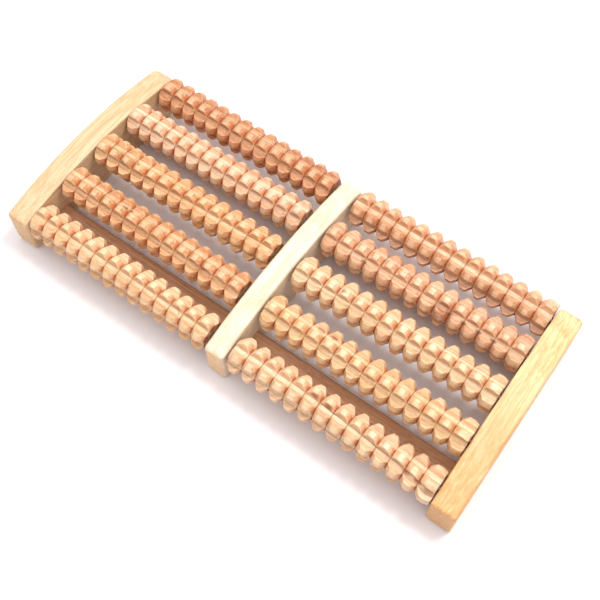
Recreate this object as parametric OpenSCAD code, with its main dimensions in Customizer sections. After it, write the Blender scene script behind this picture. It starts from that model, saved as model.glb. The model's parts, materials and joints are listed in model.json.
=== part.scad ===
// Foot massage roller: two banks of beaded wooden rollers that turn on steel rods between three arched rails.
// X runs along the rollers, Y along the rails from front to rear, Z up. The origin is the centre of the footprint.

/* [Overall] */
// Length over the two end rails
overall_length = 285; // [260:1:320]
// Depth of the rails from front to rear
rail_depth = 126; // [120:1:140]

/* [Rails] */
// Thickness of each end rail
end_rail_width = 13.8; // [11:0.1:18]
// Thickness of the middle rail
middle_rail_width = 12; // [10:0.5:18]
// Height of a rail where its arched top edge meets the end
rail_end_height = 25.5; // [24:0.5:32]
// Rise of the arched top edge from the ends to mid-depth
rail_crown = 7.3; // [4:0.1:9]
// Chamfer along the two upper edges of a rail
rail_top_chamfer = 1.2; // [0.4:0.1:2]
// Radius on the lower front and rear corners of a rail
rail_corner_radius = 4; // [1:0.1:5]

/* [Rollers] */
// Diameter over the beads
roller_diameter = 20.6; // [18:0.1:22]
// Number of beads on each roller
bead_count = 14; // [8:1:16]
// Depth of the groove between two beads
bead_groove_depth = 3.3; // [1:0.1:3.6]
// Number of lengthwise notches around each roller
notch_count = 6; // [4:1:8]
// Depth of a lengthwise notch
notch_depth = 2.9; // [1:0.1:3.3]
// Width of a lengthwise notch across its mouth
notch_width = 7.2; // [4:0.1:7.6]
// Width of the flat floor of a lengthwise notch
notch_floor_width = 2.5; // [0.5:0.1:3]
// Distance between neighbouring rows
row_pitch = 26.9; // [25:0.1:27.5]
// Room a roller has to slide along its rod, both ends together
end_play = 2.5; // [2.2:0.1:4]
// Gap between the left rail and the rollers of the left bank
left_bank_gap = 1.1; // [0.3:0.1:2]
// Gap between the middle rail and the rollers of the right bank
right_bank_gap = 1.9; // [0.3:0.1:2]

/* [Axles] */
// Diameter of the steel rods
axle_diameter = 4; // [3:0.5:5]
// Depth of the rod centres below the arched top edge
axle_drop = 4.9; // [4.5:0.1:6]
// Depth of the blind rod holes in the end rails
axle_hole_depth = 8; // [5:0.5:9]

/* [Stretchers] */
// Depth of a stretcher from front to rear
stretcher_depth = 8.5; // [6:0.5:12]
// Height of a stretcher
stretcher_height = 8; // [5:0.5:9]
// Distance of the front stretcher's centre from mid-depth
front_stretcher_offset = 37.8; // [30:0.1:44]
// Distance of the rear stretcher's centre from mid-depth
rear_stretcher_offset = 34; // [30:0.1:44]
// Gap between a stretcher and the floor
stretcher_floor_gap = 3; // [2:0.5:4]
// Depth of the mortises in the end rails
mortise_depth = 6; // [4:0.5:8]

/* [Hidden] */
$fn = 96;
// radial clearance of a roller on its rod
running_clearance = 0.08;
// clearance of a rod or stretcher in the hole that holds it
seat_clearance = 0.02;
// how far a cutting tool runs past the surface that it cuts
overcut = 1;
// angle of the first notch of each roller, from straight up towards the front, rows 1 to 5
left_spin = [43, 45, 37, 42, 20];
right_spin = [16, 35, 35, 39, 20];

half_length = overall_length / 2;
half_depth = rail_depth / 2;
rail_top = rail_end_height + rail_crown;
arch_radius = (half_depth * half_depth + rail_crown * rail_crown) / (2 * rail_crown);
arch_centre_z = rail_top - arch_radius;
arch_ring_wall = 60;
roller_radius = roller_diameter / 2;
axle_radius = axle_diameter / 2;
bank_span = half_length - end_rail_width - middle_rail_width / 2;
roller_length = bank_span - end_play;
bead_pitch = roller_length / bead_count;
left_roller_x = -half_length + end_rail_width + left_bank_gap;
right_roller_x = middle_rail_width / 2 + right_bank_gap;
middle_row = 3;
stretcher_half_length = half_length - end_rail_width + mortise_depth;
axle_half_length = half_length - end_rail_width + axle_hole_depth;

// Rows are numbered from the rear, row 3 lying at mid-depth
function row_y(row) = (middle_row - row) * row_pitch;
function arch_z(y) = arch_centre_z + sqrt(arch_radius * arch_radius - y * y);
function row_z(row) = arch_z(row_y(row)) - axle_drop;

// A solid cylinder along X from x_start
module x_cylinder(x_start, length, radius) {
    translate([x_start, 0, 0])
        rotate([0, 90, 0])
            cylinder(h = length, r = radius);
}

// Side outline of a rail below its arch: a rectangle with rounded lower corners
module rail_outline() {
    translate([-half_depth, rail_corner_radius])
        square([rail_depth, rail_top]);
    translate([-half_depth + rail_corner_radius, 0])
        square([rail_depth - 2 * rail_corner_radius, rail_top]);
    for (side = [-1, 1])
        translate([side * (half_depth - rail_corner_radius), rail_corner_radius])
            circle(r = rail_corner_radius);
}

// Ring whose outer surface is the arched top of a rail, with chamfered edges
module arch_ring(width) {
    inner = arch_radius - arch_ring_wall;
    shoulder = arch_radius - rail_top_chamfer;
    translate([0, 0, arch_centre_z])
        rotate([0, 90, 0])
            rotate_extrude($fn = 720)
                polygon([[inner, 0], [shoulder, 0], [arch_radius, rail_top_chamfer],
                    [arch_radius, width - rail_top_chamfer], [shoulder, width], [inner, width]]);
}

module rail_blank(width) {
    intersection() {
        arch_ring(width);
        rotate([90, 0, 90])
            linear_extrude(height = width)
                rail_outline();
    }
}

// Rod holes of all rows, from x_start
module axle_holes(x_start, length) {
    for (row = [1:5])
        translate([0, row_y(row), row_z(row)])
            x_cylinder(x_start, length, axle_radius + seat_clearance);
}

module stretcher_bar(x_start, length, y_centre, clearance) {
    translate([x_start, y_centre - stretcher_depth / 2 - clearance, stretcher_floor_gap - clearance])
        cube([length, stretcher_depth + 2 * clearance, stretcher_height + 2 * clearance]);
}

// Mortises for both stretchers, from x_start
module mortises(x_start, length) {
    for (y_centre = [-front_stretcher_offset, rear_stretcher_offset])
        stretcher_bar(x_start, length, y_centre, seat_clearance);
}

module left_rail() {
    color("burlywood")
        difference() {
            translate([-half_length, 0, 0])
                rail_blank(end_rail_width);
            axle_holes(-axle_half_length - seat_clearance, axle_hole_depth + overcut);
            mortises(-stretcher_half_length - seat_clearance, mortise_depth + overcut);
        }
}

module middle_rail() {
    color("cornsilk")
        difference() {
            translate([-middle_rail_width / 2, 0, 0])
                rail_blank(middle_rail_width);
            axle_holes(-middle_rail_width / 2 - overcut, middle_rail_width + 2 * overcut);
            mortises(-middle_rail_width / 2 - overcut, middle_rail_width + 2 * overcut);
        }
}

module right_rail() {
    color("sandybrown")
        difference() {
            translate([half_length - end_rail_width, 0, 0])
                rail_blank(end_rail_width);
            axle_holes(axle_half_length - axle_hole_depth - overcut,
                axle_hole_depth + overcut + seat_clearance);
            mortises(stretcher_half_length - mortise_depth - overcut,
                mortise_depth + overcut + seat_clearance);
        }
}

module front_stretcher() {
    color("sienna")
        stretcher_bar(-stretcher_half_length, 2 * stretcher_half_length, -front_stretcher_offset, 0);
}

module rear_stretcher() {
    color("sienna")
        stretcher_bar(-stretcher_half_length, 2 * stretcher_half_length, rear_stretcher_offset, 0);
}

module axle(row) {
    color("lightgrey")
        translate([0, row_y(row), row_z(row)])
            x_cylinder(-axle_half_length, 2 * axle_half_length, axle_radius);
}

// Half section of one bead, from the groove below it to the groove above it
function bead_points(index) = [for (point = [[0, 1], [0.2, 0.4], [0.36, 0], [0.64, 0], [0.8, 0.4]])
    [roller_radius - point[1] * bead_groove_depth, (index + point[0]) * bead_pitch]];

module roller_section() {
    beads = [for (index = [0:bead_count - 1]) for (point = bead_points(index)) point];
    last = [roller_radius - bead_groove_depth, roller_length];
    polygon(concat([[0, 0]], beads, [last], [[0, roller_length]]));
}

// One lengthwise notch with a flat floor and sloping sides, pointing away from the roller's axis
module notch_cutter() {
    floor_radius = roller_radius - notch_depth;
    floor_half = notch_floor_width / 2;
    side_slope = (notch_width - notch_floor_width) / (2 * notch_depth);
    mouth_half = floor_half + side_slope * (notch_depth + overcut);
    translate([0, 0, -overcut])
        linear_extrude(height = roller_length + 2 * overcut)
            polygon([[floor_radius, -floor_half], [roller_radius + overcut, -mouth_half],
                [roller_radius + overcut, mouth_half], [floor_radius, floor_half]]);
}

module roller(x_start, row, spin) {
    translate([x_start, row_y(row), row_z(row)])
        rotate([0, 90, 0])
            difference() {
                rotate_extrude()
                    roller_section();
                for (index = [0:notch_count - 1])
                    rotate([0, 0, spin + index * 360 / notch_count])
                        notch_cutter();
                translate([0, 0, -overcut])
                    cylinder(h = roller_length + 2 * overcut, r = axle_radius + running_clearance);
            }
}

module left_roller(row) {
    color("peachpuff")
        roller(left_roller_x, row, left_spin[row - 1]);
}

module right_roller(row) {
    color("navajowhite")
        roller(right_roller_x, row, right_spin[row - 1]);
}

left_rail();
middle_rail();
right_rail();
front_stretcher();
rear_stretcher();
axle(1);  // axle_1
axle(2);  // axle_2
axle(3);  // axle_3
axle(4);  // axle_4
axle(5);  // axle_5
left_roller(1);  // left_roller_1
left_roller(2);  // left_roller_2
left_roller(3);  // left_roller_3
left_roller(4);  // left_roller_4
left_roller(5);  // left_roller_5
right_roller(1);  // right_roller_1
right_roller(2);  // right_roller_2
right_roller(3);  // right_roller_3
right_roller(4);  // right_roller_4
right_roller(5);  // right_roller_5
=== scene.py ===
"""Looks of the two-foot massage roller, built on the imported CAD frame."""

import json
import math

import bmesh
import bpy
import numpy as np
from mathutils import Matrix, Vector


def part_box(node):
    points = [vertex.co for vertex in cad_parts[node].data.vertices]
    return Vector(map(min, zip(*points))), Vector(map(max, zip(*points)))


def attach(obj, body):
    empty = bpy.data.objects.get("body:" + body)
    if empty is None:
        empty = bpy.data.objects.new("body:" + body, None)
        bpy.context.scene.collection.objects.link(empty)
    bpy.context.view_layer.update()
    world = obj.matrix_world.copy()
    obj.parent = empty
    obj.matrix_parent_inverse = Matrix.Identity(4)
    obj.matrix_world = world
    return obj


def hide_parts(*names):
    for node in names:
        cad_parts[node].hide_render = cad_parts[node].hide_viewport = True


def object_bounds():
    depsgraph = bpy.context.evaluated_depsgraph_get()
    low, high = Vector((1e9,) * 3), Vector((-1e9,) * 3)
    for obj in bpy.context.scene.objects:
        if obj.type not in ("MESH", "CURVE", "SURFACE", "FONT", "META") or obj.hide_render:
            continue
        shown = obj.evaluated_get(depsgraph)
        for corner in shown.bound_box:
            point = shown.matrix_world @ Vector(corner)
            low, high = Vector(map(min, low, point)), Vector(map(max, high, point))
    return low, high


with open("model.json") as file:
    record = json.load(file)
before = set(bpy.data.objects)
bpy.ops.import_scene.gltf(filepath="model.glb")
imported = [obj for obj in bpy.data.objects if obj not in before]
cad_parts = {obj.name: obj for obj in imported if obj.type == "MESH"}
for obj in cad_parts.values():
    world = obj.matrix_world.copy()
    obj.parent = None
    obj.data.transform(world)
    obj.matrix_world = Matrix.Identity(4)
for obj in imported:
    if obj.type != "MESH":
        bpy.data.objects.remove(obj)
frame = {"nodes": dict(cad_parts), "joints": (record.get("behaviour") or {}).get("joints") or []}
cad_low, cad_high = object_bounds()

MM = 0.001
PER_MM = 1000.0


# ---------------------------------------------------------------- node graph helpers

class Graph:
    """Short ways to add nodes to one material."""

    def __init__(self, name):
        self.material = bpy.data.materials.new(name)
        self.material.use_nodes = True
        self.tree = self.material.node_tree
        self.shader = self.tree.nodes["Principled BSDF"]

    def node(self, kind, inputs=None, **settings):
        made = self.tree.nodes.new(kind)
        for key, value in settings.items():
            setattr(made, key, value)
        for key, value in (inputs or {}).items():
            self.plug(made.inputs[key], value)
        return made

    def plug(self, socket, value):
        if isinstance(value, bpy.types.NodeSocket):
            self.tree.links.new(value, socket)
        else:
            socket.default_value = value

    def math(self, operation, first, second=0.0):
        made = self.node("ShaderNodeMath", operation=operation)
        self.plug(made.inputs[0], first)
        self.plug(made.inputs[1], second)
        return made.outputs[0]

    def plus(self, first, second):
        return self.math("ADD", first, second)

    def minus(self, first, second):
        return self.math("SUBTRACT", first, second)

    def times(self, first, second):
        return self.math("MULTIPLY", first, second)

    def swing(self, noise, amount):
        """Noise brought round zero and scaled."""
        return self.times(self.minus(noise, 0.5), amount)

    def vector(self, operation, first, second=(0.0, 0.0, 0.0)):
        made = self.node("ShaderNodeVectorMath", operation=operation)
        self.plug(made.inputs[0], first)
        self.plug(made.inputs[1], second)
        return made.outputs["Value" if operation in ("LENGTH", "DOT_PRODUCT") else "Vector"]

    def point_in_mm(self):
        made = self.vector("SCALE", self.node("ShaderNodeTexCoord").outputs["Object"])
        made.node.inputs["Scale"].default_value = PER_MM
        return made

    def mapped(self, vector, scale=(1, 1, 1), location=(0, 0, 0), rotation=(0, 0, 0)):
        made = self.node("ShaderNodeMapping", {"Vector": vector, "Scale": scale, "Location": location,
                                               "Rotation": rotation})
        return made.outputs[0]

    def noise(self, vector, scale, detail=3.0, roughness=0.55, distortion=0.0):
        made = self.node("ShaderNodeTexNoise", {"Vector": vector, "Scale": scale, "Detail": detail,
                                                "Roughness": roughness, "Distortion": distortion})
        return made.outputs["Fac"]

    def fibrous(self, vector, along, across, *settings):
        """Noise drawn out along X: its scales per mm along and across, then detail, roughness, distortion."""
        return self.noise(self.mapped(vector, scale=(along, across, across)), 1.0, *settings)

    def span(self, value, low, high, to_low=0.0, to_high=1.0):
        """Maps low..high smoothly onto to_low..to_high, clamped."""
        made = self.node("ShaderNodeMapRange", {"Value": value, "From Min": low, "From Max": high,
                                                "To Min": to_low, "To Max": to_high})
        made.interpolation_type = "SMOOTHSTEP"
        return made.outputs[0]

    def mix(self, factor, first, second):
        made = self.node("ShaderNodeMix", data_type="RGBA", blend_type="MIX")
        made.clamp_factor = True
        self.plug(made.inputs[0], factor)
        for socket, value in ((made.inputs[6], first), (made.inputs[7], second)):
            self.plug(socket, value if isinstance(value, bpy.types.NodeSocket) else (*value, 1.0))
        return made.outputs[2]

    def layer(self, colour, over, mask, strength):
        """The colour with another one laid over it where the mask is 1."""
        return self.mix(self.times(mask, strength), colour, over)

    def split(self, vector):
        return self.node("ShaderNodeSeparateXYZ", {"Vector": vector}).outputs

    def join(self, x, y, z):
        return self.node("ShaderNodeCombineXYZ", {"X": x, "Y": y, "Z": z}).outputs[0]

    def attribute(self, label):
        return self.node("ShaderNodeAttribute", attribute_name=label).outputs["Fac"]

    def bump(self, height, strength, distance):
        inputs = {"Height": height, "Strength": strength, "Distance": distance}
        return self.node("ShaderNodeBump", inputs).outputs[0]


# ---------------------------------------------------------------- measures read from the frame

SIDES = ("left", "right")
ROWS = (1, 2, 3, 4, 5)
BEADS = 14
NOTCHES = 6
FACING = 113.2               # degrees from +Y, up and over: where a roller faces the camera
ROD_CLEARANCE = 0.08 * MM    # radial, of a roller on its rod
SEAT_CLEARANCE = 0.02 * MM   # radial, of a rod in a rail
joints = {joint["child"]: joint for joint in frame["joints"]}
roller_names = ["%s_roller_%d" % (side, row) for side in SIDES for row in ROWS]


def node_box(node):
    low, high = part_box(node)
    return Vector(low), Vector(high)


def half_height(node):
    low, high = node_box(node)
    return (high.z - low.z) / 2


CREST_RADIUS = max(half_height(name) for name in roller_names)
ROD_RADIUS = half_height("axle_1")
BORE_RADIUS = ROD_RADIUS + ROD_CLEARANCE

# ---------------------------------------------------------------- rollers: shape

RING_DEPTH = 3.3 * MM        # depth of the turned groove between two beads
RING_HALF_WIDTH = 0.36       # of a bead's pitch, from the groove's bottom to the crest
RING_CURVE = 1.15            # above 1 the bead's shoulders bulge
CROWN = 0.25 * MM            # how much lower a bead is at its edges than at mid-crest
NOTCH_DEPTH = 2.9 * MM
NOTCH_FLOOR = 1.25 * MM      # half width of a notch's flat floor
NOTCH_FLARE = 0.81           # widening of a notch per unit of height above its floor
STEEPEST_WALL = -0.001       # keeps the wall's formula away from a division by nothing
EDGE_SOFTNESS = 0.25 * MM    # rounding where a ring groove meets a notch
CREST_CLEARANCE = 0.11 * MM  # keeps the crests inside the faceted CAD ones
ROLLER_SHARP_DEGREES = 38

# How unevenly the rollers are turned and cut
GROOVE_WANDER = 0.018        # of a bead's pitch
BEAD_WANDER = 0.05 * MM
GROOVE_DEPTH_WANDER = 0.04   # share
NOTCH_DEPTH_WANDER = 0.05    # share, from notch to notch
NOTCH_PLACE_WANDER = 0.8     # degrees
NOTCH_WAVE = 0.04            # share, along a roller
NOTCH_WAVES = (1, 2)         # fewest and most waves along a roller

# Painted shade, darkening painted into the grooves and on the notch walls, as 1 where it is fullest. A bead's
# left flank takes less than its right one.
LEFT_FLANK_SHADE = 0.45
WALL_SHADE = 0.55            # painted shade on the sloping walls of a notch
WALL_MIDDLE = 15.0           # degrees from the middle of a notch to the middle of its wall
WALL_REACH = 6.5             # degrees
FLOOR_FADE = 0.7             # how much of a flank's painted shade goes where a notch crosses it
LINE_REACH = 0.45 * MM       # half width of the thin dark line of painted shade and dirt in a corner
LINE_FADE = 0.3              # how much of a groove's line goes where a notch crosses it
CORNER_DIRT_AND_SHADE = 0.3           # the painted line of shade and dirt along the corners of a notch
# painted shade and painted dark line in the bore, fading in over the end faces towards it
BORE_SHADE = 0.4

# Grid of the mesh: places within one bead's pitch, and within the 60 degrees from one notch to the next
BEAD_STEPS = (0.0, 0.022, 0.048, 0.09, 0.14, 0.20, 0.26, 0.31, 0.36, 0.42, 0.5, 0.58, 0.64, 0.69, 0.74,
              0.80, 0.86, 0.91, 0.952, 0.978)
NOTCH_DEGREES = (0, 2.5, 6, 8.6, 9.8, 11.5, 13.5, 15.5, 17.2, 18.4, 20, 23, 26.5, 30, 33.5, 37, 40, 41.6,
                 42.8, 44.5, 46.5, 48.5, 50.2, 51.4, 54, 57.5)
NOTCH_STEPS = tuple(degrees * NOTCHES / 360 for degrees in NOTCH_DEGREES)

# How far the two end faces of a roller lie below the crest, in mm
END_FACES = {"left": (2.8, 2.8), "right": (2.2, 0.8)}

# Each roller: where the middle of one notch lies, as (bead, degrees from facing the camera to the front).
# Where they aren't 1: the depth factor of its rings, and of its notches at the left and right end.
ROLLERS = {
    "left_roller_1": dict(leans=((1, 18), (7, 20), (14, 22)), notch=(1.0, 1.05)),
    "left_roller_2": dict(leans=((1, 26), (5, 23), (9, 21), (14, 17)), notch=(0.95, 1.0)),
    "left_roller_3": dict(leans=((1, 29), (4, 27), (6, 18), (8, 10), (11, 4), (14, -2))),
    "left_roller_4": dict(leans=((1, 20), (5, 20), (9, 17), (14, 17))),
    "left_roller_5": dict(leans=((1, -4), (8, -4), (14, -2))),
    "right_roller_1": dict(leans=((1, -6.5), (7, -8.5), (14, -8)), ring=0.97),
    "right_roller_2": dict(leans=((1, 12.5), (5, 10), (9, 9), (14, 13)), ring=0.9),
    "right_roller_3": dict(leans=((1, 11.5), (14, 12))),
    "right_roller_4": dict(leans=((1, 12.5), (7, 15), (14, 19)), notch=(1.0, 1.06)),
    "right_roller_5": dict(leans=((1, -17), (5, -17), (7, -12), (8, -9), (10, 0), (12, 10), (13, 18),
                                  (14, 27))),
}


def smooth_max(first, second, softness):
    """The larger of two depths, rounded where they meet, and still nothing where both are nothing."""
    overlap = np.maximum(softness - np.abs(first - second), 0.0)
    rounded = np.maximum(first, second) + overlap * overlap / (4 * softness)
    return np.maximum(rounded - softness / 4, 0.0)


def roller_axis(name):
    """The roller's left end on its axis, and its length."""
    low, high = node_box(name)
    x, y, z = joints[name]["pos_m"]
    return Vector((low.x, y, z)), high.x - low.x


def notch_lean(name, bead):
    """Degrees from facing to the front of one notch's middle, at a bead counted from 1."""
    return np.interp(bead, *zip(*ROLLERS[name]["leans"]))


def notch_cut(turn, depth):
    """Depth below the crest of a flat-floored notch, at an angle from its middle."""
    floor = CREST_RADIUS - depth
    flat = floor / np.cos(turn)
    steep = np.sin(turn) - NOTCH_FLARE * np.cos(turn)
    wall = (NOTCH_FLOOR - NOTCH_FLARE * floor) / np.minimum(steep, STEEPEST_WALL)
    return np.clip(CREST_RADIUS - np.maximum(flat, wall), 0.0, None)


def near(distance, reach):
    """1 at no distance, fading to 0 at the reach."""
    return np.clip(1 - distance / reach, 0, 1)


def roller_surface(name, random):
    """Radius over a grid of stations along the roller and angles around it, with its painted shade and its
    painted lines of shade and dirt.
    """
    look = ROLLERS[name]
    length = roller_axis(name)[1]
    pitch = length / BEADS
    stations = np.array([bead + step for bead in range(BEADS) for step in BEAD_STEPS] + [float(BEADS)])
    turns = np.array([(notch + step) / NOTCHES for notch in range(NOTCHES) for step in NOTCH_STEPS])
    groove_shift = random.normal(0, GROOVE_WANDER, BEADS + 1)
    groove_shift[[0, -1]] = 0
    bead_lift = random.normal(0, BEAD_WANDER, BEADS)
    ring_depths = RING_DEPTH * look.get("ring", 1.0) * (1 + random.normal(0, GROOVE_DEPTH_WANDER, BEADS + 1))
    ring_depths[[0, -1]] = np.array(END_FACES[name.split("_")[0]]) * MM
    notch_gain = 1 + random.normal(0, NOTCH_DEPTH_WANDER, NOTCHES)
    notch_shift = np.radians(random.normal(0, NOTCH_PLACE_WANDER, NOTCHES))
    notch_shift[0] = 0

    bead = np.minimum(stations.astype(int), BEADS - 1)
    into = stations - bead
    x = pitch * (stations + np.interp(stations, np.arange(BEADS + 1), groove_shift))
    nearest = np.where(into > 0.5, bead + 1, bead)
    off_ring = np.minimum(into, 1 - into)
    ring = ring_depths[nearest] * near(off_ring, RING_HALF_WIDTH) ** RING_CURVE
    lift = np.minimum(bead_lift[bead], 0.0) * np.sin(np.pi * into) - CROWN * (2 * into - 1) ** 2

    share = x / length
    along = np.interp(share, (0, 1), look.get("notch", (1.0, 1.0)))
    waves = share * random.uniform(*NOTCH_WAVES) + random.uniform()
    wave = 1 + NOTCH_WAVE * np.sin(2 * math.pi * waves)
    index = (turns * NOTCHES).astype(int)
    into_notch = turns * NOTCHES - index
    closest = np.where(into_notch > 0.5, (index + 1) % NOTCHES, index)
    turn = np.minimum(into_notch, 1 - into_notch) * 2 * math.pi / NOTCHES
    depth = NOTCH_DEPTH * notch_gain[closest][None, :] * (along * wave)[:, None]
    notch = notch_cut(turn[None, :], depth)
    cut = smooth_max(np.broadcast_to(ring[:, None], notch.shape), notch, EDGE_SOFTNESS)
    radius = CREST_RADIUS - CREST_CLEARANCE - cut + lift[:, None]

    shift = np.interp(turns, np.arange(NOTCHES + 1) / NOTCHES, np.append(notch_shift, notch_shift[0]))
    lean = notch_lean(name, x / pitch + 0.5)
    angle = np.radians(FACING + lean)[:, None] + (2 * math.pi * turns + shift)[None, :]

    # Painted shade on the bead flanks, the right ones more than the left and less where a notch crosses them,
    # and on the notch walls
    floor_share = np.clip(notch / NOTCH_DEPTH, 0, 1)
    flank_shade_share = ring / RING_DEPTH * np.where(into > 0.5, 1.0, LEFT_FLANK_SHADE)
    wall_shade_share = WALL_SHADE * near(np.abs(np.degrees(turn) - WALL_MIDDLE), WALL_REACH)
    painted_shade = np.maximum(flank_shade_share[:, None] * (1 - FLOOR_FADE * floor_share), wall_shade_share[None, :])
    # Painted dark line of shade and dirt at the bottom of each ring groove and along the corners of each
    # notch floor
    ring_dirt_and_shade_line = near(off_ring * pitch, LINE_REACH)[:, None] * (1 - LINE_FADE * floor_share)
    floor_radius = CREST_RADIUS - NOTCH_DEPTH
    off_corner = np.abs(turn - math.atan(NOTCH_FLOOR / floor_radius)) * floor_radius
    corner_dirt_and_shade_line = CORNER_DIRT_AND_SHADE * near(off_corner, LINE_REACH)[None, :]
    return x, angle, radius, np.clip(painted_shade, 0, 1), np.maximum(ring_dirt_and_shade_line, corner_dirt_and_shade_line)


def ring_vertices(x, angle, radius):
    x = np.broadcast_to(x, angle.shape)
    return np.stack([x, radius * np.cos(angle), radius * np.sin(angle)], axis=-1)


def build_roller(name, random):
    """A closed tube: the turned and notched surface outside, the bore inside."""
    x, angle, radius, painted_shade, line = roller_surface(name, random)
    start, length = roller_axis(name)
    rows, around = radius.shape
    outer = ring_vertices(x[:, None], angle, radius)
    bore_angle = (angle[0] + angle[-1]) / 2
    bore = np.array([ring_vertices(np.array(end), bore_angle, np.full(around, BORE_RADIUS))
                     for end in (length, 0.0)])
    vertices = np.concatenate([outer.reshape(-1, 3), bore.reshape(-1, 3)])
    loops = np.arange((rows + 2) * around).reshape(rows + 2, around)
    ahead = np.roll(loops, -1, axis=1)
    below = np.roll(loops, -1, axis=0)
    below_ahead = np.roll(ahead, -1, axis=0)
    faces = np.stack([loops, ahead, below_ahead, below], axis=-1).reshape(-1, 4)
    mesh = bpy.data.meshes.new(name + "_wood")
    mesh.from_pydata(vertices.tolist(), [], faces.tolist())
    # The painted shade and the painted dark line of shade and dirt, kept on the mesh for the material
    for label, values in (("painted_shade", painted_shade), ("line", line)):
        shade = mesh.attributes.new(label, "FLOAT", "POINT")
        shade.data.foreach_set("value", np.concatenate([values.ravel(), np.full(2 * around, BORE_SHADE)]))
    mesh.update()
    mesh.shade_smooth()
    mesh.set_sharp_from_angle(angle=math.radians(ROLLER_SHARP_DEGREES))
    piece = new_piece(name + "_wood", mesh)
    piece.location = start
    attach(piece, name)
    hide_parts(name)
    return piece


# ---------------------------------------------------------------- frame: shape

# Rounding of each rail in mm: the top edges left and right, the corners in plan at the rear and the front,
# and the ends of the top at the rear and the front
RAILS = {
    "left_rail": dict(left_edge=1.6, right_edge=1.0, rear_plan=3.8, front_plan=1.6, rear_over=3.2,
                      front_over=1.6),
    "middle_rail": dict(left_edge=1.5, right_edge=1.5, rear_plan=3.4, front_plan=2.4, rear_over=3.0,
                        front_over=2.4),
    "right_rail": dict(left_edge=0.9, right_edge=1.6, rear_plan=3.6, front_plan=1.2, rear_over=2.8,
                       front_over=1.2),
}
UNDERSIDE_EDGE = 0.7 * MM
LOWER_CORNER = 4.0 * MM
CORNER_STEPS = 8
EDGE_STEPS = 4
ARCH_STEPS = 56
HOLE_SIDES = 40
CUTTER_OVERRUN = 1 * MM
END_BAND = 0.05 * MM         # how close to the end a CAD point lies that gives the height there
RAIL_SHARP_DEGREES = 32


def new_piece(name, mesh):
    piece = bpy.data.objects.new(name, mesh)
    bpy.context.scene.collection.objects.link(piece)
    return piece


def mesh_of(made, name):
    mesh = bpy.data.meshes.new(name)
    made.to_mesh(mesh)
    made.free()
    return mesh


def skinned(made, sections):
    """Joins neighbouring sections with quads and closes both ends."""
    for first, second in zip(sections, sections[1:]):
        for i in range(len(first)):
            j = (i + 1) % len(first)
            made.faces.new((first[i], first[j], second[j], second[i]))
    made.faces.new(sections[0])
    made.faces.new(sections[-1][::-1])
    bmesh.ops.recalc_face_normals(made, faces=made.faces)


def arch_of(node):
    """Centre height and radius of the rail's arched top edge, from the CAD mesh."""
    mesh = frame["nodes"][node].data
    points = np.empty(len(mesh.vertices) * 3)
    mesh.vertices.foreach_get("co", points)
    points = points.reshape(-1, 3)
    half = points[:, 1].max()
    top = points[:, 2].max()
    end = points[np.abs(points[:, 1]) > half - END_BAND][:, 2].max()
    rise = top - end
    radius = (half * half + rise * rise) / (2 * rise)
    return top - radius, radius


def baked(piece):
    """The piece's mesh with its modifiers applied; the piece itself is removed."""
    graph = bpy.context.evaluated_depsgraph_get()
    mesh = bpy.data.meshes.new_from_object(piece.evaluated_get(graph))
    bpy.data.objects.remove(piece)
    return mesh


def box_cutter(low, high):
    made = bmesh.new()
    bmesh.ops.create_cube(made, size=1.0)
    bmesh.ops.scale(made, vec=Vector(high) - Vector(low), verts=made.verts)
    bmesh.ops.translate(made, vec=(Vector(low) + Vector(high)) / 2, verts=made.verts)
    return new_piece("cutter", mesh_of(made, "cutter"))


def rod_cutter(start, end, y, z):
    made = bmesh.new()
    radius = ROD_RADIUS + SEAT_CLEARANCE
    turn = Matrix.Translation(((start + end) / 2, y, z)) @ Matrix.Rotation(math.pi / 2, 4, "Y")
    bmesh.ops.create_cone(made, cap_ends=True, segments=HOLE_SIDES, radius1=radius, radius2=radius,
                          depth=end - start, matrix=turn)
    return new_piece("cutter", mesh_of(made, "cutter"))


def recess(distance, radius):
    """How far a rounded corner lies back, at a distance in from the end."""
    if distance >= radius:
        return 0.0
    return radius - math.sqrt(max(radius * radius - (radius - distance) ** 2, 0.0))


def rail_stations(low_y, high_y):
    """Places along a rail, close together where its ends are rounded."""
    quarter = math.pi / 2
    turned = [LOWER_CORNER * (1 - math.cos(quarter * step / CORNER_STEPS)) for step in range(CORNER_STEPS)]
    middle = np.linspace(low_y + LOWER_CORNER, high_y - LOWER_CORNER, ARCH_STEPS + 1).tolist()
    return [low_y + way for way in turned] + middle + [high_y - way for way in reversed(turned)]


def rail_section(y, low, high, top, look):
    """The rail's outline across its length at one station, anticlockwise seen from the front."""
    to_rear = high.y - y
    to_front = y - low.y
    plan = max(recess(to_rear, look["rear_plan"] * MM), recess(to_front, look["front_plan"] * MM))
    over = max(recess(to_rear, look["rear_over"] * MM), recess(to_front, look["front_over"] * MM))
    under = recess(min(to_rear, to_front), LOWER_CORNER)
    left, right = low.x + plan, high.x - plan
    bottom, top = low.z + under, top - over
    outline = [(left, bottom + UNDERSIDE_EDGE), (left + UNDERSIDE_EDGE, bottom),
               (right - UNDERSIDE_EDGE, bottom), (right, bottom + UNDERSIDE_EDGE)]
    for side, radius in ((1, look["right_edge"] * MM), (-1, look["left_edge"] * MM)):
        centre = (right - radius if side > 0 else left + radius, top - radius)
        for step in range(EDGE_STEPS + 1)[::side]:
            turn = math.pi / 2 * step / EDGE_STEPS
            outline.append((centre[0] + side * radius * math.cos(turn), centre[1] + radius * math.sin(turn)))
    return outline


def rail_solid(node):
    low, high = node_box(node)
    centre_z, radius = arch_of(node)
    made = bmesh.new()
    sections = []
    for y in rail_stations(low.y, high.y):
        top = centre_z + math.sqrt(radius * radius - y * y)
        outline = rail_section(y, low, high, top, RAILS[node])
        sections.append([made.verts.new((x, y, z)) for x, z in outline])
    skinned(made, sections)
    return new_piece(node + "_solid", mesh_of(made, node))


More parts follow.
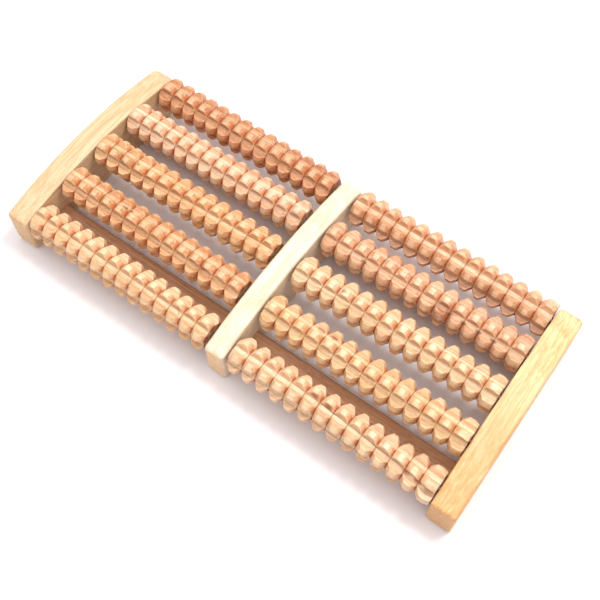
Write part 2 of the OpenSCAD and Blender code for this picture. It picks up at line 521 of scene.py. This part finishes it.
def rail_cutters(node):
    """What is taken out of a rail for the rods and the stretchers."""
    low, high = node_box(node)
    cutters = []
    for row in ROWS:
        rod_low, rod_high = node_box("axle_%d" % row)
        middle = (rod_low + rod_high) / 2
        start = max(rod_low.x, low.x - CUTTER_OVERRUN)
        end = min(rod_high.x, high.x + CUTTER_OVERRUN)
        cutters.append(rod_cutter(start, end, middle.y, middle.z))
    for name in ("front_stretcher", "rear_stretcher"):
        bar_low, bar_high = node_box(name)
        start = (max(bar_low.x, low.x - CUTTER_OVERRUN), bar_low.y, bar_low.z)
        end = (min(bar_high.x, high.x + CUTTER_OVERRUN), bar_high.y, bar_high.z)
        cutters.append(box_cutter(start, end))
    return cutters


def build_rail(node):
    piece = rail_solid(node)
    cutters = rail_cutters(node)
    for cutter in cutters:
        cut = piece.modifiers.new("hole", "BOOLEAN")
        cut.operation = "DIFFERENCE"
        cut.object = cutter
        cut.solver = "EXACT"
    mesh = baked(piece)
    for cutter in cutters:
        bpy.data.objects.remove(cutter)
    mesh.shade_smooth()
    mesh.set_sharp_from_angle(angle=math.radians(RAIL_SHARP_DEGREES))
    rail = new_piece(node + "_wood", mesh)
    rail.modifiers.new("even_shading", "WEIGHTED_NORMAL").keep_sharp = True
    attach(rail, "frame")
    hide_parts(node)
    return rail


STRETCHER_STATIONS = 40
STRETCHER_EDGE = 1.1 * MM
SAWN_INSET = (0.02, 0.12)    # mm, least and most by which a sawn face lies inside the CAD one


def build_stretcher(node, random):
    """A sawn bar whose faces wander by a tenth of a millimetre, with sanded edges."""
    low, high = node_box(node)
    made = bmesh.new()
    sections = []
    for x in np.linspace(low.x, high.x, STRETCHER_STATIONS + 1):
        front, below, rear, above = random.uniform(*SAWN_INSET, 4) * MM
        corners = [(low.y + front, low.z + below), (high.y - rear, low.z + below),
                   (high.y - rear, high.z - above), (low.y + front, high.z - above)]
        sections.append([made.verts.new((x, y, z)) for y, z in corners])
    skinned(made, sections)
    mesh = mesh_of(made, node + "_wood")
    mesh.shade_smooth()
    bar = new_piece(node + "_wood", mesh)
    bevel = bar.modifiers.new("eased_edges", "BEVEL")
    bevel.limit_method = "ANGLE"
    bevel.width = STRETCHER_EDGE
    bevel.segments = 3
    bar.modifiers.new("even_shading", "WEIGHTED_NORMAL")
    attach(bar, "frame")
    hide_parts(node)
    return bar


# ---------------------------------------------------------------- wood and steel

# Noise in the wood: scale per mm along and across the grain, detail, roughness and distortion
WOOD_NOISE = {
    "long_warp": (0.02, 0.09, 2.0, 0.55, 0.0),
    "fine_warp": (0.05, 0.5, 3.0, 0.55, 0.0),
    "fibres": (0.06, 3.2, 3.0, 0.6, 0.0),
    "streaks": (0.018, 0.75, 3.0, 0.6, 0.0),
    "blotch": (0.03, 0.09, 2.0, 0.5, 0.0),
    "pores": (0.35, 5.5, 1.0, 0.5, 0.0),
    "mottle": (0.22, 0.5, 3.0, 0.55, 0.0),
    "figure": (0.16, 0.42, 4.0, 0.62, 0.6),
}
# Masks made of that noise: which noise, and the values at which the mask starts and is full
WOOD_MASKS = {
    "blotch": ("blotch", 0.35, 0.65),
    "dark_streaks": ("streaks", 0.42, 0.72),
    "light_streaks": ("streaks", 0.52, 0.28),
    "fibres": ("fibres", 0.45, 0.75),
    "mottle": ("mottle", 0.5, 0.75),
    "figure": ("figure", 0.52, 0.70),
    "pores": ("pores", 0.60, 0.68),
}
# Colour layers in their order: the mask, then the colour and the strength as a wood's look names them
WOOD_LAYERS = (
    ("dark_streaks", "dark", "streak"),
    ("light_streaks", "light", "light_streak"),
    ("late", "dark", "ring"),
    ("fibres", "dark", "fibre"),
    ("mottle", "light", "mottle"),
    ("figure", "dark", "figure"),
    ("pores", "pore_colour", "pore"),
)
LIGHT_STREAKS = 0.8               # of the strength of the dark ones
SEED_SHIFT = (37.0, 11.0, 23.0)   # mm per unit of seed, so that no two pieces share their grain
FINE_WAVE = 0.12                  # of the growth rings' long wave
LATE_WOOD_POWER = 3.0             # above 1 the dark late wood is a narrow part of the year
YEAR_END = 0.93                   # where the late wood starts to give way to the next year's growth
PORE_DARKNESS = 0.55
WOOD_RELIEF = 0.12 * MM
RELIEF = dict(fibres=0.5, late=0.5, pores=0.6, spot=0.5, crack=1.5)
ROUGHER = dict(mottle=0.18, spot=0.15, shade_mask=0.12)
ROUGHEST = 0.95
SPECULAR = 0.5
COAT_IOR = 1.48
END_GRAIN_FROM = 0.9              # mm in from the end face, where the end grain's colour starts
END_GRAIN_FULL = 0.2
FRONT_FADE = 22.0                 # mm either side of mid-length, where a rail's front colour comes in
FRONT_WANDER = 60.0               # mm
SECOND_COLOUR = 0.8               # how far an end or front colour covers the wood
SPOT_STRETCH = 1.6                # along the grain
SPOT_WANDER = 0.9                 # of the spot's radius
SPOT_CORE = 0.35                  # of the radius, full strength within it
SPOT_EDGE = 1.25                  # of the radius, nothing beyond it
CRACK_WANDER = 1.4                # mm
CRACK_STRENGTH = 0.85
CRACK_TAPER = (0.3, 0.5)          # of its length from its middle, where it starts to fade and ends
SHADE_MOTTLE = 0.25               # how uneven the painted shade in the hollows is
SHADE_FROM = 0.25
UNSHADED_BELOW = 0.10                 # painted shade share under which the wood is lightened: the crests and the notch floors
LINE_MOTTLE = (0.3, 0.55)
LINE_STRENGTH = (0.6, 0.9)
WOOD_DEFAULTS = dict(figure=0.0, mottle=0.25, pore=0.3, tilt=(0, 0, 0), spots=(), cracks=())


def linear(red, green, blue):
    """Colour given as 0-255 display values."""
    def one(value):
        value /= 255
        return value / 12.92 if value <= 0.04045 else ((value + 0.055) / 1.055) ** 2.4
    return one(red), one(green), one(blue)


def spot_mask(graph, point, spot, mottle):
    """1 at the spot's centre, fading to 0 at its edge. Points are in mm with the grain along X."""
    away = graph.vector("MULTIPLY", graph.vector("SUBTRACT", point, spot["at"]), (1 / SPOT_STRETCH, 1, 1))
    radius = spot["radius"]
    distance = graph.plus(graph.vector("LENGTH", away), graph.swing(mottle, radius * SPOT_WANDER))
    return graph.span(distance, radius * SPOT_CORE, radius * SPOT_EDGE, 1.0, 0.0)


def crack_mask(graph, point, crack, warp):
    """A thin line along the grain, at the crack's place on the surface."""
    away = graph.vector("SUBTRACT", point, crack["at"])
    off_plane = graph.vector("DOT_PRODUCT", away, crack["normal"])
    off_plane = graph.plus(off_plane, graph.swing(warp, CRACK_WANDER))
    line = graph.span(graph.math("ABSOLUTE", off_plane), 0.0, crack["width"], 1.0, 0.0)
    fade, end = (crack["length"] * share for share in CRACK_TAPER)
    return graph.times(line, graph.span(graph.vector("LENGTH", away), fade, end, 1.0, 0.0))


def late_wood(graph, point, noise, look):
    """1 in the dark part of each year's growth, as rings round a distant pith."""
    _, y, z = graph.split(point)
    pith_y, pith_z = look["pith"]
    off_y = graph.plus(graph.minus(y, pith_y), graph.times(noise["long_warp"], look["wave"]))
    off_z = graph.plus(graph.minus(z, pith_z), graph.times(noise["fine_warp"], look["wave"] * FINE_WAVE))
    out_from_pith = graph.math("SQRT", graph.plus(graph.times(off_y, off_y), graph.times(off_z, off_z)))
    year = graph.math("FRACT", graph.math("DIVIDE", out_from_pith, look["ring_gap"]))
    return graph.times(graph.math("POWER", year, LATE_WOOD_POWER), graph.span(year, YEAR_END, 1.0, 1.0, 0.0))


def rail_colours(graph, point, noise, look, colour):
    """A rail's end grain at both ends, and the warmer front half of a rail that has one."""
    along = graph.split(point)[0]
    half = look["half_depth"]
    at_end = graph.span(graph.math("ABSOLUTE", along), half - END_GRAIN_FROM, half - END_GRAIN_FULL,
                        0.0, SECOND_COLOUR)
    colour = graph.mix(at_end, colour, look["end_grain"])
    if "front" in look:
        place = graph.plus(along, graph.swing(noise["blotch"], FRONT_WANDER))
        colour = graph.mix(graph.span(place, FRONT_FADE, -FRONT_FADE, 0.0, SECOND_COLOUR), colour,
                           look["front"])
    return colour


def turned_colours_and_painted_shade(graph, noise, look, colour, rough):
    """A turned roller's painted shade in its hollows, its lighter wood where that shade is low, and the
    painted dark line of shade and dirt in its corners.
    """
    # depth here is the painted shade share kept on the mesh
    depth = graph.attribute("painted_shade")
    shade_mask = graph.span(graph.plus(depth, graph.swing(noise["mottle"], SHADE_MOTTLE)), SHADE_FROM, 1.0)
    colour = graph.layer(colour, look["painted_shade_colour"], shade_mask, look["painted_shade"])
    rough = graph.plus(rough, graph.times(shade_mask, ROUGHER["shade_mask"]))
    # lighter wood on the crests and notch floors, where the painted shade is low
    colour = graph.layer(colour, look["light"], graph.span(depth, UNSHADED_BELOW, 0.0), look["unshaded_lift"])
    strength = graph.span(noise["mottle"], *LINE_MOTTLE, *LINE_STRENGTH)
    colour = graph.layer(colour, look["line_dirt_and_shade_colour"], graph.attribute("line"), strength)
    return colour, rough


def wood_material(name, look, along="X"):
    """Solid wood: growth rings round a distant pith, fibres and pores, blotches, knots and varnish."""
    look = {**WOOD_DEFAULTS, **look}
    look["light_streak"] = look["streak"] * LIGHT_STREAKS
    look["pore_colour"] = tuple(part * PORE_DARKNESS for part in look["dark"])
    graph = Graph(name)
    point = graph.point_in_mm()
    if along == "Y":
        x, y, z = graph.split(point)
        point = graph.join(y, x, z)
    shift = tuple(look["seed"] * way for way in SEED_SHIFT)
    grain = graph.mapped(point, location=shift, rotation=look["tilt"])
    noise = {label: graph.fibrous(grain, *settings) for label, settings in WOOD_NOISE.items()}
    masks = {label: graph.span(noise[source], low, high) for label, (source, low, high) in WOOD_MASKS.items()}
    masks["late"] = late_wood(graph, point, noise, look)

    colour = graph.mix(masks["blotch"], look["base"], look["second"])
    if "end_grain" in look:
        colour = rail_colours(graph, point, noise, look, colour)
    for mask, over, strength in WOOD_LAYERS:
        colour = graph.layer(colour, look[over], masks[mask], look[strength])
    rough = graph.plus(look["rough"], graph.swing(noise["mottle"], ROUGHER["mottle"]))
    relief = graph.times(noise["fibres"], RELIEF["fibres"])
    relief = graph.plus(relief, graph.times(masks["late"], RELIEF["late"]))
    relief = graph.minus(relief, graph.times(masks["pores"], RELIEF["pores"]))

    for spot in look["spots"]:
        mask = spot_mask(graph, point, spot, noise["mottle"])
        colour = graph.layer(colour, spot["colour"], mask, spot["strength"])
        rough = graph.plus(rough, graph.times(mask, ROUGHER["spot"]))
        relief = graph.minus(relief, graph.times(mask, RELIEF["spot"]))
    for crack in look["cracks"]:
        mask = crack_mask(graph, point, crack, noise["fine_warp"])
        colour = graph.layer(colour, crack["colour"], mask, CRACK_STRENGTH)
        relief = graph.minus(relief, graph.times(mask, RELIEF["crack"]))
    if "painted_shade" in look:
        colour, rough = turned_colours_and_painted_shade(graph, noise, look, colour, rough)

    shader = graph.shader
    graph.plug(shader.inputs["Base Color"], colour)
    graph.plug(shader.inputs["Roughness"], graph.math("MINIMUM", rough, ROUGHEST))
    graph.plug(shader.inputs["Normal"], graph.bump(relief, look["bump"], WOOD_RELIEF))
    shader.inputs["Specular IOR Level"].default_value = SPECULAR
    shader.inputs["Coat Weight"].default_value = look["coat"]
    shader.inputs["Coat Roughness"].default_value = look["coat_rough"]
    shader.inputs["Coat IOR"].default_value = COAT_IOR
    return graph.material


# Noise along and across a rod per mm, the values between which its patches change, and what they change
STEEL_LINES = (0.08, 9.0)
STEEL_PATCHES = (0.25, 0.6)
STEEL_COLOURS = (linear(120, 116, 112), linear(84, 80, 76))
STEEL_COLOUR_SPAN = (0.4, 0.7)
STEEL_ROUGHNESS = (0.42, 0.62)
STEEL_ROUGHNESS_SPAN = (0.3, 0.75)
STEEL_BUMP = 0.3
STEEL_RELIEF = 0.02 * MM


def steel_material():
    """Drawn steel rod: fine lines along its length and a few duller patches."""
    graph = Graph("rod_steel")
    shader = graph.shader
    point = graph.point_in_mm()
    lines = graph.fibrous(point, *STEEL_LINES)
    patches = graph.fibrous(point, *STEEL_PATCHES)
    colour = graph.mix(graph.span(patches, *STEEL_COLOUR_SPAN), *STEEL_COLOURS)
    graph.plug(shader.inputs["Base Color"], colour)
    shader.inputs["Metallic"].default_value = 1.0
    graph.plug(shader.inputs["Roughness"], graph.span(patches, *STEEL_ROUGHNESS_SPAN, *STEEL_ROUGHNESS))
    graph.plug(shader.inputs["Normal"], graph.bump(lines, STEEL_BUMP, STEEL_RELIEF))
    return graph.material


def surface_depth(name, place, lean):
    """How far a roller's notched surface lies below its crest, at a place and lean."""
    between = 360 / NOTCHES
    off_notch = (lean - notch_lean(name, place + 0.5)) % between
    return float(notch_cut(math.radians(min(off_notch, between - off_notch)), NOTCH_DEPTH))


def on_roller(name, place, lean):
    """A point on a roller in mm: place in bead pitches from its left end, lean from facing to the front."""
    pitch = roller_axis(name)[1] / BEADS
    radius = CREST_RADIUS - surface_depth(name, place, lean)
    angle = math.radians(FACING + lean)
    return place * pitch / MM, radius * math.cos(angle) / MM, radius * math.sin(angle) / MM


def spot(name, place, lean, radius, colour, strength):
    return dict(at=on_roller(name, place, lean), radius=radius, colour=colour, strength=strength)


def crack(name, place, lean, length, slope, width):
    """A crack near the grain; slope is how far it drifts to the front per mm along the roller."""
    angle = math.radians(FACING + lean)
    normal = Vector((-slope, -math.sin(angle), math.cos(angle))).normalized()
    return dict(at=on_roller(name, place, lean), normal=tuple(normal), length=length, width=width,
                colour=CRACK)


KNOT = linear(104, 62, 40)
BURL = linear(150, 96, 62)
CRACK = linear(96, 58, 36)
# near-black painted shade inside a small pit, which the mesh does not cut
PIT_SHADE = linear(40, 22, 14)
RUST = linear(158, 84, 50)
PINK = linear(206, 132, 98)

# Base, second, light and dark colours of each roller's wood as display values
ROLLER_WOODS = {
    "left_roller_1": ((224, 172, 128), (208, 150, 106), (240, 198, 158), (168, 100, 62)),
    "left_roller_2": ((238, 202, 166), (232, 188, 150), (248, 224, 196), (204, 146, 108)),
    "left_roller_3": ((234, 190, 142), (226, 174, 122), (246, 214, 172), (194, 130, 80)),
    "left_roller_4": ((232, 186, 142), (222, 168, 120), (246, 214, 174), (188, 120, 72)),
    "left_roller_5": ((236, 200, 158), (230, 188, 142), (248, 218, 180), (204, 150, 104)),
    "right_roller_1": ((230, 184, 144), (220, 166, 124), (244, 208, 172), (188, 128, 88)),
    "right_roller_2": ((232, 188, 150), (222, 172, 132), (244, 210, 176), (188, 126, 88)),
    "right_roller_3": ((238, 206, 166), (232, 192, 148), (248, 222, 188), (204, 150, 106)),
    "right_roller_4": ((236, 200, 156), (230, 186, 136), (248, 218, 178), (200, 144, 94)),
    "right_roller_5": ((236, 200, 162), (232, 190, 148), (248, 220, 186), (204, 152, 110)),
}

# Marks in the wood. Spots: place, lean, radius in mm, colour, strength.
# Cracks: place, lean, length, slope, width.
MARKS = {
    "left_roller_1": dict(cracks=[(11.2, 23, 10, 0.0, 0.4)], spots=[(5.3, -12, 2.2, BURL, 0.5)]),
    "left_roller_2": dict(cracks=[(6.25, -40, 12, 0.0, 0.2), (13.1, -37, 12, 0.0, 0.2)],
                          spots=[(13.7, 0, 3.0, RUST, 0.5)]),
    "left_roller_3": dict(spots=[(2.2, -5, 5.5, BURL, 0.4), (1.3, -18, 1.0, KNOT, 0.75),
                                 (2.3, 6, 1.0, KNOT, 0.75), (3.4, -12, 0.9, KNOT, 0.75),
                                 (9.1, -40, 0.9, PINK, 0.8), (10.7, -40, 1.1, RUST, 0.7),
                                 (12.7, -40, 0.9, PINK, 0.8)]),
    "left_roller_4": dict(spots=[(4.6, -31, 1.3, PIT_SHADE, 0.95), (5.14, -32, 0.9, PIT_SHADE, 0.95),
                                 (11.2, 4, 1.9, BURL, 0.85), (10.3, 2, 1.3, BURL, 0.8)]),
    "left_roller_5": dict(cracks=[(11.65, -12, 6, 1.05, 0.25)]),
    "right_roller_1": dict(spots=[(10.0, 35, 5.5, BURL, 0.5), (6.4, 5, 2.2, RUST, 0.4)]),
    "right_roller_2": dict(spots=[(8.7, 16, 4.6, RUST, 0.75), (8.4, 42, 1.8, KNOT, 0.75)]
                           + [(place, 19, 1.2, KNOT, 0.8) for place in (3, 9, 10, 11, 12)]),
    "right_roller_3": dict(spots=[(3.3, -20, 1.5, KNOT, 0.7), (4.15, -20, 2.0, RUST, 0.5)]),
    "right_roller_4": dict(spots=[(3.6, -50, 1.8, BURL, 0.7), (4.5, -55, 1.4, RUST, 0.8)]),
    "right_roller_5": dict(cracks=[(9.0, -10, 62, 0.07, 0.3)],
                           spots=[(5.6, -30, 1.8, BURL, 0.85), (6.6, -25, 1.8, BURL, 0.85),
                                  (12.1, 10, 1.6, RUST, 0.85), (12.9, 16, 1.5, RUST, 0.85),
                                  (13.6, 22, 1.8, RUST, 0.8)]),
}

# How strongly each feature of the wood shows, the painted shade and the painted line of shade and dirt among
# them: wave and ring_gap in mm, the rest as shares
ROLLER_FINISH = dict(wave=9.0, ring=0.45, streak=0.75, fibre=0.5, figure=0.65, mottle=0.45, rough=0.44,
                     bump=0.4, coat=0.26, coat_rough=0.27, painted_shade=0.92, unshaded_lift=0.3,
                     painted_shade_colour=linear(196, 100, 46), line_dirt_and_shade_colour=linear(92, 44, 20))
RAIL_FINISH = dict(wave=14.0, ring=0.4, streak=0.6, fibre=0.45, rough=0.5, bump=0.3, coat=0.15,
                   coat_rough=0.3)
STRETCHER_FINISH = dict(seed=4.2, pith=(-18.0, -40.0), wave=8.0, ring_gap=2.4, ring=0.4, streak=0.6,
                        fibre=0.5, rough=0.68, bump=0.5, coat=0.0, coat_rough=0.4, pore=0.5)


# Least and most of what differs from piece to piece: where the pith lies to the side and below and how far
# apart the growth rings are, in mm, and how far the grain is tilted, in radians
GRAIN_SEEDS = (1, 9)
ROLLER_GRAIN = dict(side=(-45, 45), below=(20, 60), ring_gap=(2.2, 3.6))
RAIL_GRAIN = dict(side=(-30, 30), below=(30, 70), ring_gap=(2.6, 3.8))
ROLLER_TILT = ((-0.04, 0.04), (-0.05, 0.05))
RAIL_TILT = (-0.03, 0.03)


def wood_colours(base, second, light, dark):
    return dict(base=linear(*base), second=linear(*second), light=linear(*light), dark=linear(*dark))


def drawn_grain(random, ranges, centre):
    """How a piece was cut from its log; centre is the piece's own middle to the side, in mm."""
    return dict(seed=random.uniform(*GRAIN_SEEDS),
                pith=(centre + random.uniform(*ranges["side"]), -random.uniform(*ranges["below"])),
                ring_gap=random.uniform(*ranges["ring_gap"]))


def roller_material(name, random):
    look = dict(ROLLER_FINISH, **wood_colours(*ROLLER_WOODS[name]), **drawn_grain(random, ROLLER_GRAIN, 0.0))
    look["tilt"] = (0, *(random.uniform(*reach) for reach in ROLLER_TILT))
    look["spots"] = [spot(name, *mark) for mark in MARKS[name].get("spots", ())]
    look["cracks"] = [crack(name, *mark) for mark in MARKS[name].get("cracks", ())]
    return wood_material(name + "_wood", look)


RAIL_WOODS = {
    "left_rail": ((228, 200, 162), (222, 188, 146), (236, 212, 178), (198, 154, 104)),
    "middle_rail": ((242, 228, 206), (236, 218, 190), (244, 234, 216), (212, 180, 136)),
    "right_rail": ((236, 212, 162), (230, 202, 148), (240, 218, 172), (202, 142, 78)),
}
END_GRAIN = {"left_rail": (238, 184, 126), "middle_rail": (244, 178, 106), "right_rail": (233, 180, 114)}
RIGHT_RAIL_FRONT = (222, 160, 94)


def rail_material(node, random):
    low, high = node_box(node)
    grain = drawn_grain(random, RAIL_GRAIN, (low.x + high.x) / 2 / MM)
    look = dict(RAIL_FINISH, **wood_colours(*RAIL_WOODS[node]), **grain)
    look["tilt"] = (0, 0, random.uniform(*RAIL_TILT))
    look["end_grain"] = linear(*END_GRAIN[node])
    look["half_depth"] = high.y / MM
    if node == "right_rail":
        look["front"] = linear(*RIGHT_RAIL_FRONT)
    return wood_material(node + "_wood", look, along="Y")


STRETCHER_WOOD = ((206, 154, 118), (198, 146, 106), (218, 172, 138), (150, 104, 76))


def stretcher_material():
    return wood_material("stretcher_wood", dict(STRETCHER_FINISH, **wood_colours(*STRETCHER_WOOD)))


# ---------------------------------------------------------------- put together

def dress(piece, material):
    piece.data.materials.clear()
    piece.data.materials.append(material)


ROLLER_SEED = 20
RAIL_SEED = 60
STRETCHER_SEED = 80
for number, name in enumerate(roller_names):
    generator = np.random.default_rng(ROLLER_SEED + number)
    dress(build_roller(name, generator), roller_material(name, generator))
for number, node in enumerate(RAILS):
    dress(build_rail(node), rail_material(node, np.random.default_rng(RAIL_SEED + number)))
bar_wood = stretcher_material()
for number, node in enumerate(("front_stretcher", "rear_stretcher")):
    dress(build_stretcher(node, np.random.default_rng(STRETCHER_SEED + number)), bar_wood)
steel = steel_material()
for row in ROWS:
    for slot in frame["nodes"]["axle_%d" % row].material_slots:
        slot.material = steel

# ---------------------------------------------------------------- floor, light and camera

FLOOR_HALF = 3.0
FLOOR_COLOURS = ((0.80, 0.77, 0.80), (0.83, 0.80, 0.83))
FLOOR_CLOUDS = (3.0, 2.0)    # scale per metre and detail
FLOOR_CLOUD_SPAN = (0.3, 0.7)
FLOOR_ROUGHNESS = 0.6
LIGHTS = {
    "key": dict(location=(0.27, 0.34, 1.12), size=0.30, power=7.0, colour=(1.0, 0.985, 0.96)),
    "soft_top": dict(location=(-0.10, -0.10, 1.25), size=1.2, power=7.0, colour=(1.0, 0.985, 0.965)),
}
LIT_POINT = (0, 0, 0.02)
SKY_COLOUR = (1.0, 0.98, 0.96, 1.0)
SKY_BRIGHT_WAY = (0.05, 0.25, 0.92)
SKY_STRENGTH = (0.38, 1.1)   # across and below, and where it is brightest
CAMERA = dict(azimuth=36.4, elevation=62.14, roll=-0.6, distance=0.5009, target=(0.01046, 0.0021, 0.010),
              focal_px=930.65, centre_px=(305.4, 286.4))
IMAGE = 600
SENSOR_MM = 36.0
CLIP = (0.01, 20)


def build_floor():
    corners = ((-1, -1), (1, -1), (1, 1), (-1, 1))
    mesh = bpy.data.meshes.new("floor")
    mesh.from_pydata([(x * FLOOR_HALF, y * FLOOR_HALF, cad_low.z) for x, y in corners], [], [(0, 1, 2, 3)])
    floor = new_piece("floor", mesh)
    graph = Graph("floor_paint")
    clouds = graph.noise(graph.node("ShaderNodeTexCoord").outputs["Object"], *FLOOR_CLOUDS)
    colour = graph.mix(graph.span(clouds, *FLOOR_CLOUD_SPAN), *FLOOR_COLOURS)
    graph.plug(graph.shader.inputs["Base Color"], colour)
    graph.shader.inputs["Roughness"].default_value = FLOOR_ROUGHNESS
    dress(floor, graph.material)


def area_light(name, location, size, power, colour):
    data = bpy.data.lights.new(name, "AREA")
    data.shape = "DISK"
    data.size = size
    data.energy = power
    data.color = colour
    light = bpy.data.objects.new(name, data)
    light.location = location
    light.rotation_euler = (Vector(LIT_POINT) - light.location).to_track_quat("-Z", "Y").to_euler()
    bpy.context.scene.collection.objects.link(light)


def build_sky():
    """A pale studio round the object, brightest overhead and a little to the rear."""
    world = bpy.data.worlds.new("studio")
    world.use_nodes = True
    tree = world.node_tree
    background = tree.nodes["Background"]
    background.inputs["Color"].default_value = SKY_COLOUR
    towards = tree.nodes.new("ShaderNodeVectorMath")
    towards.operation = "DOT_PRODUCT"
    towards.inputs[1].default_value = Vector(SKY_BRIGHT_WAY).normalized()
    tree.links.new(tree.nodes.new("ShaderNodeTexCoord").outputs["Generated"], towards.inputs[0])
    fade = tree.nodes.new("ShaderNodeMapRange")
    fade.inputs["To Min"].default_value, fade.inputs["To Max"].default_value = SKY_STRENGTH
    tree.links.new(towards.outputs["Value"], fade.inputs["Value"])
    tree.links.new(fade.outputs[0], background.inputs["Strength"])
    bpy.context.scene.world = world


def build_camera():
    azimuth, elevation, roll = (math.radians(CAMERA[key]) for key in ("azimuth", "elevation", "roll"))
    level = math.cos(elevation)
    back = Vector((math.sin(azimuth) * level, -math.cos(azimuth) * level, math.sin(elevation)))
    level_right = Vector((0, 0, 1)).cross(back).normalized()
    level_up = back.cross(level_right)
    right = math.cos(roll) * level_right + math.sin(roll) * level_up
    up = -math.sin(roll) * level_right + math.cos(roll) * level_up
    data = bpy.data.cameras.new("camera")
    data.sensor_width = SENSOR_MM
    data.lens = CAMERA["focal_px"] * SENSOR_MM / IMAGE
    data.shift_x = (IMAGE / 2 - CAMERA["centre_px"][0]) / IMAGE
    data.shift_y = (CAMERA["centre_px"][1] - IMAGE / 2) / IMAGE
    data.clip_start, data.clip_end = CLIP
    camera = bpy.data.objects.new("camera", data)
    turn = Matrix((right, up, back)).transposed().to_4x4()
    camera.matrix_world = Matrix.Translation(Vector(CAMERA["target"]) + back * CAMERA["distance"]) @ turn
    bpy.context.scene.collection.objects.link(camera)
    bpy.context.scene.camera = camera


build_floor()
for name, settings in LIGHTS.items():
    area_light(name, **settings)
build_sky()
build_camera()
bpy.context.scene.view_settings.view_transform = "Standard"
